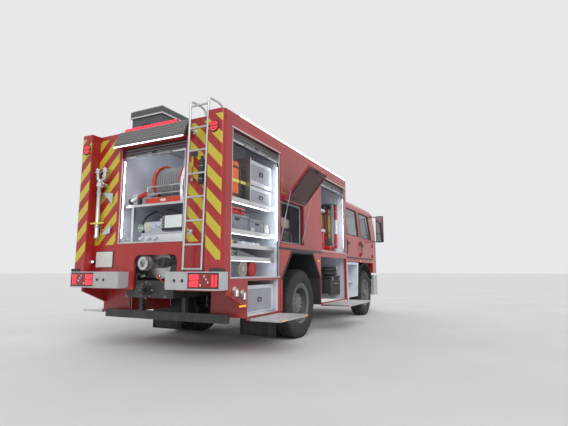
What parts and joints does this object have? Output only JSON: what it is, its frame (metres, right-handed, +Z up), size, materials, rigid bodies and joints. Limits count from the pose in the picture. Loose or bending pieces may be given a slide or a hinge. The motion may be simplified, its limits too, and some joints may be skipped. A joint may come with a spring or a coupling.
{
  "type": "wildland fire tanker truck",
  "caption": "Crew-cab fire tanker truck with side lockers, lifting flaps, fold-down steps, rear hose reel, access ladder and tilting cab.",
  "frame": {"origin": "on the ground under the middle of the overall length and width", "axes": "+X forward, +Y to the vehicle's left, +Z up"},
  "size_m": [7.5, 3.508, 3.46],
  "materials": {
    "red_paint": "gloss",
    "bare_aluminium": "satin",
    "light_grey": "satin",
    "frame_grey": "satin",
    "black_plastic": "matt",
    "tyre_rubber": "matt",
    "rim_paint": "satin",
    "silver_paint": "satin",
    "pane_glass": "clear",
    "red_lens": "gloss",
    "white_lens": "gloss",
    "blue_lens": "gloss",
    "cabin_trim": "matt",
    "red_hose": "matt",
    "orange_cloth": "matt",
    "steel": "brushed"
  },
  "bodies": {
    "chassis": {"chassis_frame": "frame_grey", "chassis_tanks": "frame_grey", "engine_block": "frame_grey", "front_axle": "frame_grey", "rear_axle": "frame_grey", "front_bumper": "silver_paint", "headlamps": "white_lens", "step_wells": "light_grey", "mudguards": "black_plastic", "body_side_left": "red_paint", "body_side_right": "red_paint", "body_inner": "light_grey", "body_roof": "bare_aluminium", "water_tank": "light_grey", "rear_columns": "red_paint", "rear_wall": "red_paint", "rear_skirt": "red_paint", "rear_bumpers": "silver_paint", "red_lamps": "red_lens", "light_strips": "white_lens", "roller_shutters": "bare_aluminium", "compartment_shelves": "bare_aluminium", "stowed_boxes": "bare_aluminium", "stowed_cases": "orange_cloth", "reel_frame": "bare_aluminium", "fire_pump": "bare_aluminium", "control_panel": "black_plastic", "standpipe": "bare_aluminium", "access_ladder": "steel", "roof_chest": "bare_aluminium"},
    "cab": {"cab_shell": "red_paint", "cab_glass": "pane_glass", "cab_interior": "cabin_trim", "cab_mirrors": "black_plastic", "beacons": "blue_lens"},
    "front_door_left": {"front_door_left": "red_paint"},
    "front_door_right": {"front_door_right": "red_paint"},
    "crew_door_left": {"crew_door_left": "red_paint"},
    "crew_door_right": {"crew_door_right": "red_paint"},
    "knuckle_left": {"knuckle_left": "frame_grey"},
    "knuckle_right": {"knuckle_right": "frame_grey"},
    "front_wheel_left": {"front_tyre_left": "tyre_rubber", "front_rim_left": "rim_paint"},
    "front_wheel_right": {"front_tyre_right": "tyre_rubber", "front_rim_right": "rim_paint"},
    "rear_wheels_left": {"rear_tyres_left": "tyre_rubber", "rear_rims_left": "rim_paint"},
    "rear_wheels_right": {"rear_tyres_right": "tyre_rubber", "rear_rims_right": "rim_paint"},
    "flap_left": {"flap_left": "red_paint"},
    "flap_right": {"flap_right": "red_paint"},
    "strut_cylinders_left": {"strut_cylinders_left": "black_plastic"},
    "strut_cylinders_right": {"strut_cylinders_right": "black_plastic"},
    "strut_rods_left": {"strut_rods_left": "steel"},
    "strut_rods_right": {"strut_rods_right": "steel"},
    "step_rear_left": {"step_rear_left": "bare_aluminium"},
    "step_rear_right": {"step_rear_right": "bare_aluminium"},
    "step_mid_left": {"step_mid_left": "bare_aluminium"},
    "step_mid_right": {"step_mid_right": "bare_aluminium"},
    "hose_reel": {"hose_reel": "red_hose"}
  },
  "joints": [
    {"name": "cab_tilt", "type": "hinge", "parent": "chassis", "child": "cab", "pos_m": [3.62, 0, 0.965], "axis": [0, 1, 0], "range_deg": [0, 45]},
    {"name": "front_door_left_swing", "type": "hinge", "parent": "cab", "child": "front_door_left", "pos_m": [3.154, 1.212, 1.8], "axis": [0, 0, -1], "range_deg": [0, 70]},
    {"name": "crew_door_left_swing", "type": "hinge", "parent": "cab", "child": "crew_door_left", "pos_m": [2.034, 1.212, 1.8], "axis": [0, 0, -1], "range_deg": [0, 70]},
    {"name": "steer_left", "type": "hinge", "parent": "chassis", "child": "knuckle_left", "pos_m": [2.45, 0.9, 0.535], "axis": [0, 0, 1], "range_deg": [-35, 35]},
    {"name": "front_wheel_left_spin", "type": "hinge", "parent": "knuckle_left", "child": "front_wheel_left", "pos_m": [2.45, 1.0525, 0.535], "axis": [0, 1, 0], "continuous": true},
    {"name": "rear_wheels_left_spin", "type": "hinge", "parent": "chassis", "child": "rear_wheels_left", "pos_m": [-1.45, 0.9375, 0.535], "axis": [0, 1, 0], "continuous": true},
    {"name": "flap_left_lift", "type": "hinge", "parent": "chassis", "child": "flap_left", "pos_m": [-1.815, 1.262, 2.106], "axis": [1, 0, 0], "range_deg": [-140, 0]},
    {"name": "strut_cylinders_left_lean", "type": "hinge", "parent": "chassis", "child": "strut_cylinders_left", "pos_m": [-1.815, 1.232, 1.506], "axis": [-1, 0, 0], "range_deg": [-12.6, 0]},
    {"name": "strut_rods_left_slide", "type": "slide", "parent": "strut_cylinders_left", "child": "strut_rods_left", "axis": [0, 0.228, 0.9737], "range_m": [-0.341, 0]},
    {"name": "step_rear_left_fold", "type": "hinge", "parent": "chassis", "child": "step_rear_left", "pos_m": [-2.73, 1.27, 0.451], "axis": [1, 0, 0], "range_deg": [0, 90]},
    {"name": "step_mid_left_fold", "type": "hinge", "parent": "chassis", "child": "step_mid_left", "pos_m": [0.065, 1.27, 0.451], "axis": [1, 0, 0], "range_deg": [0, 90]},
    {"name": "front_door_right_swing", "type": "hinge", "parent": "cab", "child": "front_door_right", "pos_m": [3.154, -1.212, 1.8], "axis": [0, 0, 1], "range_deg": [0, 70]},
    {"name": "crew_door_right_swing", "type": "hinge", "parent": "cab", "child": "crew_door_right", "pos_m": [2.034, -1.212, 1.8], "axis": [0, 0, 1], "range_deg": [0, 70]},
    {"name": "steer_right", "type": "hinge", "parent": "chassis", "child": "knuckle_right", "pos_m": [2.45, -0.9, 0.535], "axis": [0, 0, 1], "range_deg": [-35, 35]},
    {"name": "front_wheel_right_spin", "type": "hinge", "parent": "knuckle_right", "child": "front_wheel_right", "pos_m": [2.45, -1.0525, 0.535], "axis": [0, 1, 0], "continuous": true},
    {"name": "rear_wheels_right_spin", "type": "hinge", "parent": "chassis", "child": "rear_wheels_right", "pos_m": [-1.45, -0.9375, 0.535], "axis": [0, 1, 0], "continuous": true},
    {"name": "flap_right_lift", "type": "hinge", "parent": "chassis", "child": "flap_right", "pos_m": [-1.815, -1.262, 2.106], "axis": [-1, 0, 0], "range_deg": [-140, 0]},
    {"name": "strut_cylinders_right_lean", "type": "hinge", "parent": "chassis", "child": "strut_cylinders_right", "pos_m": [-1.815, -1.232, 1.506], "axis": [1, 0, 0], "range_deg": [-12.6, 0]},
    {"name": "strut_rods_right_slide", "type": "slide", "parent": "strut_cylinders_right", "child": "strut_rods_right", "axis": [0, -0.228, 0.9737], "range_m": [-0.341, 0]},
    {"name": "step_rear_right_fold", "type": "hinge", "parent": "chassis", "child": "step_rear_right", "pos_m": [-2.73, -1.27, 0.451], "axis": [-1, 0, 0], "range_deg": [0, 90]},
    {"name": "step_mid_right_fold", "type": "hinge", "parent": "chassis", "child": "step_mid_right", "pos_m": [0.065, -1.27, 0.451], "axis": [-1, 0, 0], "range_deg": [0, 90]},
    {"name": "hose_reel_spin", "type": "hinge", "parent": "chassis", "child": "hose_reel", "pos_m": [-3.08, 0, 2.275], "axis": [0, 1, 0], "continuous": true}
  ],
  "couplings": [
    {"joint": "steer_right", "follows": "steer_left", "ratio": 1},
    {"joint": "strut_cylinders_left_lean", "follows": "flap_left_lift", "ratio": 0.08865},
    {"joint": "strut_rods_left_slide", "follows": "flap_left_lift", "m_per_rad": 0.13895},
    {"joint": "strut_cylinders_right_lean", "follows": "flap_right_lift", "ratio": 0.08865},
    {"joint": "strut_rods_right_slide", "follows": "flap_right_lift", "m_per_rad": 0.13895}
  ]
}
